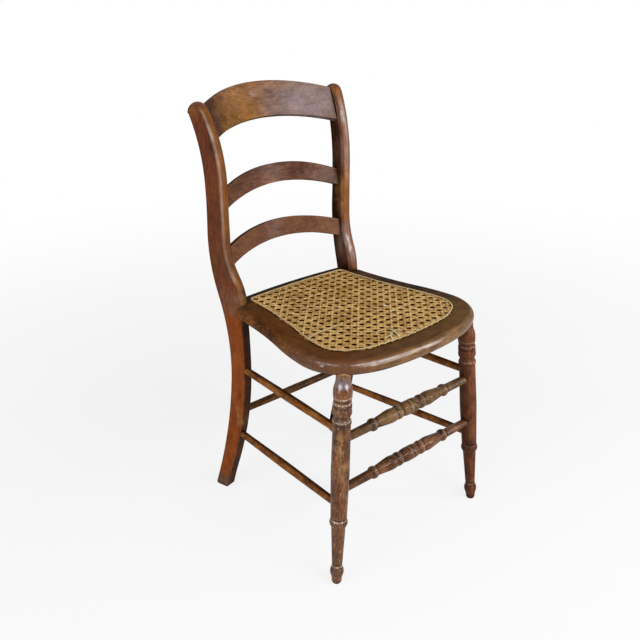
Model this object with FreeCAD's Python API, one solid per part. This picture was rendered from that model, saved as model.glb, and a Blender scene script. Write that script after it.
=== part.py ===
# Ladderback side chair with a hand caned seat, in millimetres.
# X runs across the chair, Y runs from front to back and Z is up.
# The chair is laid out from a datum on the floor, midway between the front feet.
# It is moved at the end so that the middle of its footprint is the origin.
import FreeCAD
import Part
import math
import os

V = FreeCAD.Vector

# Seat frame
seat_height = 445.0
rail_thickness = 29.0
rail_nose_radius = 14.0
rail_width = 43.0
ledge_width = 12.0
seat_outline = [
    (0.0, -30.5),
    (90.0, -23.8),
    (157.4, 0.0),
    (205.5, 92.0),
    (192.0, 170.0),
    (168.9, 300.0),
]
front_joint_y = 78.0
back_rail_width = 20.0
back_rail_bow = 12.0

# Cane panel
cane_rear = 341.0
cane_rear_bow = 5.0
cane_corner_radius = 8.0
cane_pitch = 17.45
cane_first_row = 33.0
cane_gap = 9.8
cane_gap_side = 5.2
cane_thickness = 2.0
cane_margin = 4.0
binder_width = 4.4
binder_thickness = 1.4
caning_hole_radius = 2.4
caning_hole_spacing = 11.0

# Lining tacked under the seat frame, which the gaps of the cane show dark
lining_thickness = 0.8
lining_lap = 8.0

# Back posts: each is a plank, turned outwards, with a crowned face above the seat.
# Its edges are runs of tangent arcs through points, each its distance back and its height.
post_thickness = 21.8
post_inner_x = 140.8
post_datum_y = 340.0
post_toe = 13.15
post_crown = 4.0
post_crown_start = 5
post_head_turn = 115.0
post_chamfer = 1.5
post_front_heading = 180.0
post_front = [
    (390.06, 0.0),
    (381.0, 0.0157 * seat_height),
    (364.5, 0.1393 * seat_height),
    (336.2, 0.3685 * seat_height),
    (319.8, 0.7146 * seat_height),
    (325.0, seat_height),
    (342.6, seat_height + 54.2),
    (361.8, seat_height + 120.2),
    (362.7, seat_height + 225.9),
    (397.3, seat_height + 362.7),
    (405.5, seat_height + 372.8),
    (432.3, seat_height + 360.0),
]
post_rear_heading = 0.0
post_rear = [
    (409.6, 0.0),
    (414.3, 0.0146 * seat_height),
    (379.1, 0.3018 * seat_height),
    (358.2, 0.6175 * seat_height),
    (382.1, seat_height + 14.0),
    (401.1, seat_height + 147.2),
    (401.1, seat_height + 237.3),
    (432.3, seat_height + 360.0),
]

# Back slats: bent across the chair, arched upwards and leaned back
slat_thickness = 11.0
slat_tenon = 12.0
slat_shoulder = 7.0
crest = {"end_y": 380.1, "end_z": seat_height + 314.6, "height": 70.9,
         "top_arch": 39.5, "bottom_arch": 38.4, "lean": 29.0, "bow": 31.9}
upper_slat = {"end_y": 369.6, "end_z": seat_height + 179.4, "height": 34.0,
              "top_arch": 36.5, "bottom_arch": 32.4, "lean": 16.5, "bow": 19.9}
lower_slat = {"end_y": 359.1, "end_z": seat_height + 69.1, "height": 36.4,
              "top_arch": 28.9, "bottom_arch": 28.7, "lean": 12.7, "bow": 22.6}

# Front legs: distance from the floor, radius there, and radius halfway along the step
front_foot_x = 197.7
leg_splay = 0.0789
leg_rake = 0.0547
leg_tenon_radius = 10.0
leg_tenon_depth = 21.0
leg_body_radius = 17.1
leg_turning = [
    (0.0, 6.8, None),
    (5.0, 9.3, 8.6),
    (18.0, 11.4, 9.9),
    (32.0, 11.9, 12.9),
    (39.0, 9.8, 10.6),
    (121.0, 13.4, None),
    (137.0, 14.6, 16.9),
    (138.5, 15.2, None),
    (seat_height - 215.0, leg_body_radius, None),
    (seat_height - 123.0, 16.2, None),
    (seat_height - 120.0, 15.6, None),
    (seat_height - 109.0, 15.5, 17.4),
    (seat_height - 103.5, 14.9, 14.5),
    (seat_height - 89.0, 16.4, 17.5),
    (seat_height - 83.0, 16.3, 17.3),
    (seat_height - 77.0, 16.1, 17.2),
    (seat_height - 74.0, 15.9, None),
    (seat_height - 61.0, 17.3, 16.9),
    (seat_height - 46.0, 15.6, 17.1),
    (seat_height - 36.0, 13.4, 14.1),
    (seat_height - 16.0, 13.2, None),
]

# Stretchers: the turned ones are given from their middle to one end
front_upper_z = seat_height - 153.0
front_lower_z = 192.0
front_turning = [
    (0.0, 13.5, None),
    (21.0, 11.8, 13.6),
    (23.5, 11.6, None),
    (37.0, 12.2, 13.6),
    (39.0, 12.2, None),
    (58.0, 13.1, 13.5),
    (88.0, 9.6, None),
    (90.5, 9.6, None),
    (104.0, 9.2, 12.3),
    (106.0, 8.9, None),
]
front_end_radius = 8.2
side_upper_front_z = seat_height - 137.0
side_upper_back_z = seat_height - 141.0
side_lower_front_z = 162.0
side_lower_back_z = 150.0
rear_stretcher_z = 200.0
plain_end_radius = 7.0
plain_middle_radius = 8.2
rung_tenon_radius = 5.5
rung_tenon_length = 14.0

# Fits
fit_clearance = 0.1
end_clearance = 0.4
dowel_radius = 4.0
dowel_half_length = 16.0
reach = 700.0


def moved(shape, x, y, z):
    placed = shape.copy()
    placed.translate(V(x, y, z))
    return placed


def mirrored(shape):
    return shape.mirror(V(0, 0, 0), V(1, 0, 0))


def biggest(shape):
    return max(shape.Solids, key=lambda solid: solid.Volume)


def cylinder(start, end, radius):
    axis = end - start
    return Part.makeCylinder(radius, axis.Length, start, axis)


def box(x0, x1, y0, y1, z0, z1):
    return Part.makeBox(x1 - x0, y1 - y0, z1 - z0, V(x0, y0, z0))


def polygon(points):
    corners = [V(*point) for point in points]
    return Part.makePolygon(corners + corners[:1])


def arc_through(start, middle, end):
    return Part.Arc(V(*start), V(*middle), V(*end)).toShape()


def circle_radius(half_chord, rise):
    return (half_chord ** 2 + rise ** 2) / (2 * rise)


def turn_between(first, second, normal):
    """The signed angle between two unit vectors, seen along a normal."""
    return math.atan2(first.cross(second).dot(normal), first.dot(second))


def tangent_arcs(points, heading, normal):
    """A smooth run of arcs through points, and its heading at each of them."""
    edges = []
    headings = [heading]
    for start, end in zip(points, points[1:]):
        chord = end - start
        way = chord / chord.Length
        turn = turn_between(headings[-1], way, normal)
        rise = chord.Length / 2 * math.tan(turn / 2)
        middle = (start + end) / 2 - normal.cross(way) * rise
        if abs(rise) < 0.001:
            edges.append(Part.makeLine(start, end))
        else:
            edges.append(arc_through(start, middle, end))
        headings.append(way * (2 * math.cos(turn)) - headings[-1])
    return edges, headings


def turned(steps, start, axis):
    """Revolve a list of steps, each a straight run or an arc, about an axis."""
    edges = []
    previous = steps[0]
    for step in steps[1:]:
        here = (previous[1], 0, previous[0])
        there = (step[1], 0, step[0])
        if step[2] is None:
            edges.append(Part.makeLine(V(*here), V(*there)))
        else:
            halfway = (step[2], 0, (previous[0] + step[0]) / 2)
            edges.append(arc_through(here, halfway, there))
        previous = step
    low = V(0, 0, steps[0][0])
    high = V(0, 0, steps[-1][0])
    edges.insert(0, Part.makeLine(low, V(steps[0][1], 0, steps[0][0])))
    edges.append(Part.makeLine(V(steps[-1][1], 0, steps[-1][0]), high))
    edges.append(Part.makeLine(high, low))
    solid = Part.Face(Part.Wire(edges)).revolve(V(0, 0, 0), V(0, 0, 1), 360)
    solid.Placement = FreeCAD.Placement(start, FreeCAD.Rotation(V(0, 0, 1), axis))
    return solid


# Seat frame outlines

def side_run(inset):
    """The right-hand outline moved in by a distance, and its end and heading there."""
    points = [V(x, y, 0) for x, y in seat_outline]
    up = V(0, 0, 1)
    headings = tangent_arcs(points, V(1, 0, 0), up)[1]
    moved_in = [point + up.cross(way) * inset for point, way in zip(points, headings)]
    return tangent_arcs(moved_in, V(1, 0, 0), up)[0], moved_in[-1], headings[-1]


def closed_face(right_edges):
    """A face bounded by edges that run from front to back, and by their mirror images."""
    left_edges = [mirrored(edge) for edge in right_edges]
    return Part.Face(Part.Wire(Part.__sortEdges__(right_edges + left_edges)))


def seat_outline_face():
    """The outline of the frame, carried on past its rear so that its edge can be rounded."""
    edges, last, way = side_run(0)
    beyond = last + way * ((seat_beyond_y - last.y) / way.y)
    return closed_face(edges + [Part.makeLine(last, beyond), Part.makeLine(beyond, V(0, beyond.y, 0))])


def inset_face(inset):
    """The outline moved in by a distance, closed behind by the bowed line of the cane."""
    edges, last, way = side_run(inset)
    rear_y = cane_rear + rail_width - inset
    corner_y = rear_y - cane_rear_bow - cane_corner_radius
    corner = last + way * ((corner_y - last.y) / way.y)
    half = corner.x - cane_corner_radius
    fall = cane_rear_bow * (half / corner.x) ** 2
    radius = circle_radius(half, fall)
    rear_end = V(half, rear_y - fall, 0)
    quarter = V(half / 2, rear_y - radius + (radius ** 2 - (half / 2) ** 2) ** 0.5, 0)
    edges.append(Part.makeLine(last, corner))
    edges += tangent_arcs([corner, rear_end], way, V(0, 0, 1))[0]
    edges.append(arc_through(rear_end, quarter, (0, rear_y, 0)))
    return closed_face(edges)


def region_in_front(y_middle, bow):
    """Everything in front of an arc that bows backwards by a given height."""
    half = seat_outline[-1][0]
    arc = arc_through((-half, y_middle - bow, 0), (0, y_middle, 0), (half, y_middle - bow, 0))
    sides = [
        Part.makeLine(V(half, y_middle - bow, 0), V(half * 2, y_middle - bow, 0)),
        Part.makeLine(V(half * 2, y_middle - bow, 0), V(half * 2, -reach, 0)),
        Part.makeLine(V(half * 2, -reach, 0), V(-half * 2, -reach, 0)),
        Part.makeLine(V(-half * 2, -reach, 0), V(-half * 2, y_middle - bow, 0)),
        Part.makeLine(V(-half * 2, y_middle - bow, 0), V(-half, y_middle - bow, 0)),
    ]
    return Part.Face(Part.Wire([arc] + sides))


seat_beyond_y = cane_rear + rail_width
outline = seat_outline_face()
binder_line = inset_face(rail_width)
opening = inset_face(rail_width + ledge_width)


def raised(face, low, high):
    return moved(face, 0, 0, low).extrude(V(0, 0, high - low))


seat_low = seat_height - rail_thickness
seat_middle = seat_height - rail_thickness / 2


def seat_blank():
    """The frame as one board with its rounded outer edge and its opening."""
    blank = raised(outline, seat_low, seat_height)
    rims = [edge for edge in blank.Edges
            if edge.BoundBox.ZLength < 0.001 and edge.BoundBox.YMin < seat_beyond_y - 1]
    blank = blank.makeFillet(rail_nose_radius, rims)
    rear_y = cane_rear + back_rail_width
    blank = blank.common(raised(region_in_front(rear_y, back_rail_bow), seat_low, seat_height))
    return blank.cut(raised(opening, seat_low - 1, seat_height + 1))


def caning_holes():
    """Where the strands of the panel meet its border, the frame is drilled."""
    places = []
    count = int(reach / cane_pitch)
    lines = [((k * cane_pitch, -reach), (k * cane_pitch, reach)) for k in range(-count, count)]
    for k in range(count):
        y = cane_first_row + (k - 0.5) * cane_pitch
        lines.append(((-reach, y), (reach, y)))
    for start, end in lines:
        line = Part.makeLine(V(start[0], start[1], 0), V(end[0], end[1], 0))
        for vertex in binder_line.common(line).Vertexes:
            spot = vertex.Point
            if all((spot - other).Length > caning_hole_spacing for other in places):
                places.append(spot)
    return places


# Back posts

post_rotation = FreeCAD.Rotation(V(0, 0, 1), -post_toe)
post_places = [[V(0, along - post_datum_y, z) for along, z in points]
               for points in (post_front, post_rear)]


def heading_at(degrees):
    return V(0, math.cos(math.radians(degrees)), math.sin(math.radians(degrees)))


front_edges, front_headings = tangent_arcs(post_places[0], heading_at(post_front_heading), V(1, 0, 0))
rear_edges = tangent_arcs(post_places[1], heading_at(post_rear_heading), V(1, 0, 0))[0]
post_base = Part.makeLine(post_places[0][0], post_places[1][0])
post_profile = Part.Face(Part.Wire(Part.__sortEdges__(front_edges + rear_edges + [post_base])))


def placed_post(shape):
    """Turn the plank outwards and stand it in its place."""
    shape.rotate(V(0, 0, 0), V(0, 0, 1), -post_toe)
    shape.translate(V(post_inner_x, post_datum_y, 0))
    return shape


def post_point(across, along, z):
    """A point of the post in the chair: across its thickness and back from the datum."""
    return V(post_inner_x, post_datum_y, 0) + post_rotation.multVec(V(across, along, z))


def post_span(z):
    """Where the front and the rear of the plank are at a height, back from the datum."""
    level = post_profile.common(Part.makeLine(V(0, -reach, z), V(0, reach, z))).BoundBox
    return level.YMin, level.YMax


def post_inner_at(y):
    return post_inner_x + (y - post_datum_y) * math.tan(math.radians(post_toe))


def crown_section(point, heading):
    """The shallow arc that crowns the front of the post, across its whole thickness."""
    across = V(post_thickness, 0, 0)
    crest_point = point + across / 2 + V(1, 0, 0).cross(heading) * post_crown
    arc = arc_through(point, crest_point, point + across)
    return Part.Face(Part.Wire([arc, Part.makeLine(point + across, point)]))


def post_crowns():
    """Follow each arc of the front edge with the crown, and round it off at the end."""
    normal = V(1, 0, 0)
    points = post_places[0]
    crowns = []
    for index in range(post_crown_start, len(points) - 1):
        start = points[index]
        heading = front_headings[index]
        turn = turn_between(heading, front_headings[index + 1], normal)
        radius = (points[index + 1] - start).Length / (2 * math.sin(turn / 2))
        centre = start + normal.cross(heading) * radius
        crowns.append(crown_section(start, heading).revolve(centre, normal, math.degrees(turn)))
    last = crown_section(points[-1], front_headings[-1])
    crowns.append(last.revolve(points[-1], normal * -1, post_head_turn))
    return crowns


def post_blank():
    """The right-hand post before its mortises are cut."""
    plank = post_profile.extrude(V(post_thickness, 0, 0))
    middles = [edge.CenterOfMass + V(x, 0, 0) for edge in rear_edges for x in (0, post_thickness)]
    rims = [edge for edge in plank.Edges
            if any((edge.CenterOfMass - middle).Length < 0.001 for middle in middles)]
    plank = plank.makeChamfer(post_chamfer, rims)
    return placed_post(biggest(plank.fuse(post_crowns()).removeSplitter()))


# Back slats

beyond_post = placed_post(box(0, reach, -reach, reach, -reach, reach * 2))
beyond_posts = [beyond_post, mirrored(beyond_post)]


def leaned(shape, size):
    shape.rotate(V(0, size["end_y"], size["end_z"]), V(1, 0, 0), -size["lean"])
    return shape


def bent_sheet(size, gap=0.0):
    """A tall sheet bent to the curve of a slat, as thick as the slat and a gap."""
    half = post_inner_at(size["end_y"])
    radius = circle_radius(half, size["bow"])
    low = V(0, size["end_y"] + size["bow"] - radius, size["end_z"] - reach / 2)
    outer = Part.makeCylinder(radius + slat_thickness + gap, reach, low)
    return outer.cut(Part.makeCylinder(radius - gap, reach, low))


def arched_below(size, level, arch):
    """Everything under an arch that springs from a level at the inner faces of the posts."""
    radius = circle_radius(post_inner_at(size["end_y"]), arch)
    centre = V(0, 0, size["end_z"] + level + arch - radius)
    return Part.makeCylinder(radius, reach, centre, V(0, 1, 0))


def slat_tenons(size, gap=0.0, extra=0.0):
    """The shouldered ends of a slat. A gap and extra length turn them into their mortises."""
    inner = post_inner_at(size["end_y"]) - slat_shoulder
    outer = inner + slat_shoulder + slat_tenon + extra
    low = size["end_z"] + slat_shoulder - gap
    high = size["end_z"] + size["height"] - slat_shoulder + gap
    tongue = bent_sheet(size, gap).common(box(inner, outer, 0, reach, low, high))
    tongue = leaned(tongue, size)
    return [tongue, mirrored(tongue)]


def slat(size):
    """A bent and arched board, cut off at the posts, with its tenons."""
    board = bent_sheet(size).common(box(-reach, reach, 0, reach, 0, reach * 2))
    board = board.common(arched_below(size, size["height"], size["top_arch"]))
    board = board.cut(arched_below(size, 0, size["bottom_arch"]))
    board = biggest(leaned(board, size).cut(beyond_posts))
    return board.fuse(slat_tenons(size)).removeSplitter()


# Front legs

def leg_point(z):
    return V(front_foot_x - leg_splay * z, leg_rake * z, z)


leg_axis = leg_point(1) - leg_point(0)
leg_axis.normalize()


def leg_blank():
    """The right-hand leg as it comes off the lathe, trimmed level at the floor."""
    sunk = leg_turning[0][1] * leg_splay
    leg = turned(leg_turning, leg_point(0) - leg_axis * sunk, leg_axis)
    return biggest(leg.cut(box(0, reach, -reach / 2, reach / 2, -reach, 0)))


# Stretchers

def plain_steps(length):
    return [(0.0, plain_end_radius, None), (length / 2, plain_middle_radius, None),
            (length, plain_end_radius, None)]


def front_steps(length):
    """Mirror the turning about its middle and run it out to both ends."""
    half = length / 2
    steps = [(0.0, front_end_radius, None)]
    for index in range(len(front_turning) - 1, -1, -1):
        distance, radius, middle = front_turning[index]
        shape = None
        if index < len(front_turning) - 1:
            shape = front_turning[index + 1][2]
        steps.append((half - distance, radius, shape))
    for distance, radius, middle in front_turning[1:]:
        steps.append((half + distance, radius, middle))
    steps.append((length, front_end_radius, None))
    return steps


def seated_rung(body, start, end, start_holder, end_holder, start_inset, end_inset):
    """Cope the body to its two holders, and give it a round tenon in each."""
    axis = end - start
    axis.normalize()
    body = biggest(body.cut(start_holder).cut(end_holder))
    sockets = []
    for point, direction, inset in ((start, axis, start_inset), (end, axis * -1, end_inset)):
        tip = point + direction * inset
        root = tip + direction * (rung_tenon_length + plain_middle_radius)
        body = body.fuse(cylinder(tip, root, rung_tenon_radius))
        bottom = tip - direction * end_clearance
        sockets.append(cylinder(bottom, root, rung_tenon_radius + fit_clearance))
    return body.removeSplitter(), sockets


# Cane panel

def row_half_width(face, y):
    line = Part.makeLine(V(-reach, y, 0), V(reach, y, 0))
    crossing = face.common(line)
    return crossing.BoundBox.XMax if crossing.Vertexes else 0.0


def cane_gap_wire(x, y):
    """One eight-sided gap between the strands, about its own middle."""
    long = cane_gap / 2
    short = cane_gap_side / 2
    corners = [(long, short), (short, long), (-short, long), (-long, short),
               (-long, -short), (-short, -long), (short, -long), (long, -short)]
    return polygon([(x + dx, y + dy, 0) for dx, dy in corners])


def cane_panel():
    """The woven panel as one holed sheet, its gaps on the lattice of the strands."""
    woven = inset_face(rail_width + cane_margin)
    gaps = []
    rows = int((cane_rear - cane_first_row) / cane_pitch) + 1
    for row in range(rows):
        y = cane_first_row + row * cane_pitch
        half = min(row_half_width(woven, y - cane_gap / 2), row_half_width(woven, y + cane_gap / 2))
        columns = int(half / cane_pitch + 0.5 - cane_gap / (2 * cane_pitch))
        for column in range(columns):
            x = (column + 0.5) * cane_pitch
            gaps.append(cane_gap_wire(x, y))
            gaps.append(cane_gap_wire(-x, y))
    border = inset_face(rail_width - caning_hole_radius).OuterWire
    sheet = Part.makeFace([border] + gaps, "Part::FaceMakerBullseye")
    return raised(sheet, seat_height, seat_height + cane_thickness)


def cane_binder():
    """The flat strip laid over the line of holes."""
    half = binder_width / 2
    strip = inset_face(rail_width - half).cut(inset_face(rail_width + half))
    low = seat_height + cane_thickness
    return raised(strip, low, low + binder_thickness)


def seat_lining():
    """The cloth under the frame, lapped on to it all round its opening."""
    cut = inset_face(rail_width + ledge_width - lining_lap)
    return raised(cut, seat_low - lining_thickness, seat_low)


# Assembly

post_whole = post_blank()
leg_whole = leg_blank()
right_post = post_whole
right_leg = leg_whole
nodes = {}

# The slats are housed in blind mortises in the inner faces of the posts
for name, size in (("crest_rail", crest), ("upper_slat", upper_slat), ("lower_slat", lower_slat)):
    nodes[name] = slat(size)
    right_post = right_post.cut(slat_tenons(size, fit_clearance, end_clearance)[0])

# The seat frame is four rails. The side and back rails stop against the posts.
frame = seat_blank()
hole_places = caning_holes()
drills = [cylinder(V(spot.x, spot.y, seat_low - 1), V(spot.x, spot.y, seat_height + 1),
                   caning_hole_radius) for spot in hole_places]
frame = frame.cut(drills)
post_front_along = post_span(seat_middle)[0]
split_y = post_point(0, post_front_along, 0).y
front_rail = frame.common(box(-reach, reach, -reach, front_joint_y, 0, reach))
right_rail = frame.common(box(0, reach, front_joint_y, split_y, 0, reach))
right_rail = biggest(right_rail.cut(post_whole))
back_rail = frame.common(box(-reach, reach, split_y, reach, 0, reach))
back_rail = biggest(back_rail.cut([post_whole, mirrored(post_whole)]))

# The front legs are coped to the front rail and tenoned up into it
tenon_low = leg_point(seat_low - rail_thickness)
tenon_high = leg_point(seat_low) + leg_axis * leg_tenon_depth
right_leg = biggest(right_leg.cut(front_rail))
right_leg = right_leg.fuse(cylinder(tenon_low, tenon_high, leg_tenon_radius)).removeSplitter()
socket = cylinder(tenon_low, tenon_high + leg_axis * end_clearance,
                  leg_tenon_radius + fit_clearance)
front_rail = front_rail.cut([socket, mirrored(socket)])

# Dowels hold the rails to each other and to the posts
joint_line = Part.makeLine(V(0, front_joint_y, 0), V(reach, front_joint_y, 0))
joint_inner = opening.common(joint_line).BoundBox.XMax
joint_outer = outline.common(joint_line).BoundBox.XMax - rail_nose_radius
joint_width = joint_outer - joint_inner
back_dowel_along = post_front_along + back_rail_width
dowel_places = [
    (V(joint_inner + joint_width / 4, front_joint_y, seat_middle), V(0, 1, 0)),
    (V(joint_outer - joint_width / 4, front_joint_y, seat_middle), V(0, 1, 0)),
    (post_point(post_thickness / 2, post_front_along, seat_middle), post_rotation.multVec(V(0, 1, 0))),
    (post_point(0, back_dowel_along, seat_middle), post_rotation.multVec(V(1, 0, 0))),
]
dowels = []
dowel_holes = []
for centre, way in dowel_places:
    half = way * dowel_half_length
    dowels.append(cylinder(centre - half, centre + half, dowel_radius))
    half = way * (dowel_half_length + end_clearance)
    dowel_holes.append(cylinder(centre - half, centre + half, dowel_radius + fit_clearance))
right_rail = right_rail.cut(dowel_holes)
right_post = right_post.cut(dowel_holes)
both_sides = dowel_holes + [mirrored(hole) for hole in dowel_holes]
front_rail = front_rail.cut(both_sides)
back_rail = back_rail.cut(both_sides)

# Turned stretchers between the front legs
leg_inset = leg_body_radius - rung_tenon_length
for name, z in (("upper_front_stretcher", front_upper_z), ("lower_front_stretcher", front_lower_z)):
    end = leg_point(z)
    start = V(-end.x, end.y, end.z)
    body = turned(front_steps((end - start).Length), start, end - start)
    nodes[name], sockets = seated_rung(body, start, end, mirrored(leg_whole), leg_whole,
                                       leg_inset, leg_inset)
    right_leg = right_leg.cut(sockets[1])

# Plain stretchers from each front leg back to its post
for name, front_z, back_z in (("upper", side_upper_front_z, side_upper_back_z),
                              ("lower", side_lower_front_z, side_lower_back_z)):
    start = leg_point(front_z)
    end = post_point(post_thickness / 2, post_span(back_z)[0] + rung_tenon_length, back_z)
    body = turned(plain_steps((end - start).Length), start, end - start)
    rung, sockets = seated_rung(body, start, end, leg_whole, post_whole, leg_inset, 0)
    nodes["right_%s_stretcher" % name] = rung
    nodes["left_%s_stretcher" % name] = mirrored(rung)
    right_leg = right_leg.cut(sockets[0])
    right_post = right_post.cut(sockets[1])

# Plain stretcher between the posts
tip = post_point(rung_tenon_length, sum(post_span(rear_stretcher_z)) / 2, rear_stretcher_z)
start = V(-tip.x, tip.y, tip.z)
end = tip
body = turned(plain_steps((end - start).Length), start, end - start)
nodes["rear_stretcher"], sockets = seated_rung(body, start, end, mirrored(post_whole), post_whole,
                                               0, 0)
right_post = right_post.cut(sockets[1])

nodes["right_back_post"] = right_post
nodes["left_back_post"] = mirrored(right_post)
nodes["right_front_leg"] = right_leg
nodes["left_front_leg"] = mirrored(right_leg)
nodes["seat_front_rail"] = front_rail
nodes["seat_right_rail"] = right_rail
nodes["seat_left_rail"] = mirrored(right_rail)
nodes["seat_back_rail"] = back_rail
nodes["seat_frame_dowels"] = Part.makeCompound(dowels + [mirrored(dowel) for dowel in dowels])
nodes["cane_weave"] = cane_panel()
nodes["cane_binder"] = cane_binder()
nodes["seat_lining"] = seat_lining()

# The middle of the footprint becomes the origin
front_most = min(shape.optimalBoundingBox(False).YMin for shape in nodes.values())
rear_most = max(shape.optimalBoundingBox(False).YMax for shape in nodes.values())
centre_y = (front_most + rear_most) / 2
print("footprint middle is", round(centre_y, 3), "behind the front feet")
print("depth", round(rear_most - front_most, 2))

os.makedirs("parts", exist_ok=True)
for name, shape in nodes.items():
    placed = moved(shape, 0, -centre_y, 0)
    placed.exportStep("parts/%s.step" % name)
    print(name, "solids", len(placed.Solids), "valid", placed.isValid(),
          "volume", round(placed.Volume / 1000, 2))
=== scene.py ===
import bpy
import bmesh
import math
import random
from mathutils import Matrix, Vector


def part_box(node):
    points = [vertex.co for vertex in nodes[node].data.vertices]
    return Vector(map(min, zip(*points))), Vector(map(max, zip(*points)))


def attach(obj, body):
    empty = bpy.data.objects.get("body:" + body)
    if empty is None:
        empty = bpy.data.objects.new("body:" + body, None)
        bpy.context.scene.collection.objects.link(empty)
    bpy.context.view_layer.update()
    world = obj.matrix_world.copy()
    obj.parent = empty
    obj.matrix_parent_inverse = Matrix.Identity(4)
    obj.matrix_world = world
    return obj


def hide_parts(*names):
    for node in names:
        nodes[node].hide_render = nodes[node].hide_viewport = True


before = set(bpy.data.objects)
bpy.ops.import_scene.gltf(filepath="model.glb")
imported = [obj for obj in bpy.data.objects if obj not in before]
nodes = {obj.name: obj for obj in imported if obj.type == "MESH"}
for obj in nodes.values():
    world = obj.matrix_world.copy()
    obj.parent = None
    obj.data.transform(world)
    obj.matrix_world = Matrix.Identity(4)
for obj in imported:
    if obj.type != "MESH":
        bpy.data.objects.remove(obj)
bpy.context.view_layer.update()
print("frame loaded,", len(nodes), "nodes")

# the photograph's view
camera = {
    "azimuth": -42.02,        # degrees round from the front, towards the chair's left
    "elevation": 24.04,       # degrees that it looks down
    "lens": 46.72,            # millimetres
    "sensor": 36,
    "place": (-1.0360, -1.1046, 1.0785),
    "reach": 60,              # metres that it sees
}
camData = bpy.data.cameras.new("camera")
camData.lens = camera["lens"]
camData.sensor_width = camera["sensor"]
camData.clip_end = camera["reach"]
camObject = bpy.data.objects.new("camera", camData)
camObject.location = camera["place"]
camObject.rotation_euler = (math.radians(90 - camera["elevation"]), 0, math.radians(camera["azimuth"]))
bpy.context.scene.collection.objects.link(camObject)
bpy.context.scene.camera = camObject
bpy.context.scene.view_settings.view_transform = "Standard"


# shader sums: one socket that can be added, multiplied and so on
class Signal:
    def __init__(self, tree, socket=None):
        self.tree = tree
        self.socket = socket

    def node(self, kind, settings=None, inputs=None, out=0):
        made = self.tree.nodes.new(kind)
        for key, value in (settings or {}).items():
            if key == "stops":
                ramp = made.color_ramp
                while len(ramp.elements) < len(value):
                    ramp.elements.new(0.5)
                for element, (place, colour) in zip(ramp.elements, value):
                    element.position = place
                    element.color = (*colour, 1)
            else:
                setattr(made, key, value)
        for key, value in (inputs or {}).items():
            if isinstance(value, Signal):
                self.tree.links.new(value.socket, made.inputs[key])
            elif isinstance(value, tuple) and made.inputs[key].type == "RGBA":
                made.inputs[key].default_value = (*value, 1)
            else:
                made.inputs[key].default_value = value
        return Signal(self.tree, made.outputs[out])

    def maths(self, operation, *values, clamp=False):
        return self.node("ShaderNodeMath", {"operation": operation, "use_clamp": clamp},
                         dict(enumerate(values)))

    def vector(self, operation, *values, out=0):
        return self.node("ShaderNodeVectorMath", {"operation": operation}, dict(enumerate(values)), out)

    def __add__(self, other):
        return self.maths("ADD", self, other)

    def __radd__(self, other):
        return self.maths("ADD", other, self)

    def __sub__(self, other):
        return self.maths("SUBTRACT", self, other)

    def __rsub__(self, other):
        return self.maths("SUBTRACT", other, self)

    def __mul__(self, other):
        return self.maths("MULTIPLY", self, other)

    def __rmul__(self, other):
        return self.maths("MULTIPLY", other, self)


def newPaint(name):
    material = bpy.data.materials.new(name)
    material.use_nodes = True
    material.node_tree.nodes.clear()
    return material, Signal(material.node_tree)


def finishWith(paint, shader, kind="ShaderNodeOutputMaterial"):
    output = paint.tree.nodes.new(kind)
    paint.tree.links.new(shader.socket, output.inputs["Surface"])


def objectPlace(paint):
    return paint.node("ShaderNodeTexCoord", out="Object")


def noise(paint, place, scale, detail=3, roughness=0.5, distortion=0.0, out=0):
    return paint.node("ShaderNodeTexNoise", {}, {"Vector": place, "Scale": scale, "Detail": detail,
                                                 "Roughness": roughness, "Distortion": distortion}, out)


def stretched(paint, place, grain, share):
    # coordinates that run slowly along the grain
    scale = tuple(share if axis == grain else 1 for axis in "xyz")
    return paint.node("ShaderNodeMapping", {}, {"Vector": place, "Scale": scale})


def step(paint, value, low, high):
    # 0 below low, 1 above high, smooth between
    return paint.node("ShaderNodeMapRange", {"interpolation_type": "SMOOTHSTEP"},
                      {"Value": value, "From Min": low, "From Max": high})


def between(paint, value, limits, blur):
    # 1 where a value lies between two limits
    low, high = limits
    return step(paint, value, low - blur, low + blur) * (1.0 - step(paint, value, high - blur, high + blur))


def tinted(paint, factor, first, second, mode="MIX"):
    return paint.node("ShaderNodeMix", {"data_type": "RGBA", "blend_type": mode},
                      {0: factor, 6: first, 7: second}, out=2)


def toned(paint, value, tones):
    # three colours, from dark to light, along a value
    return paint.node("ShaderNodeValToRGB", {"stops": list(zip((0.0, 0.5, 1.0), tones))}, {"Fac": value})


def patch(paint, place, centre, radius):
    # a soft egg-shaped area, 1 in its middle and 0 beyond its radius
    scaled = paint.vector("DIVIDE", paint.vector("SUBTRACT", place, centre), radius)
    return step(paint, 1.0 - paint.vector("LENGTH", scaled, out="Value"), 0.0, 0.9)


def facing(paint, normal, way, low, high):
    # 1 where the surface looks a given way
    return step(paint, paint.vector("DOT_PRODUCT", normal, way, out="Value"), low, high)


def openness(paint, distance, samples=6, **settings):
    # how free a place is of other surfaces within a distance
    return paint.node("ShaderNodeAmbientOcclusion", {"samples": samples, **settings},
                      {"Distance": distance}, out="AO")


def newPiece(name, bm):
    mesh = bpy.data.meshes.new(name)
    bm.to_mesh(mesh)
    bm.free()
    piece = bpy.data.objects.new(name, mesh)
    bpy.context.scene.collection.objects.link(piece)
    return piece


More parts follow.
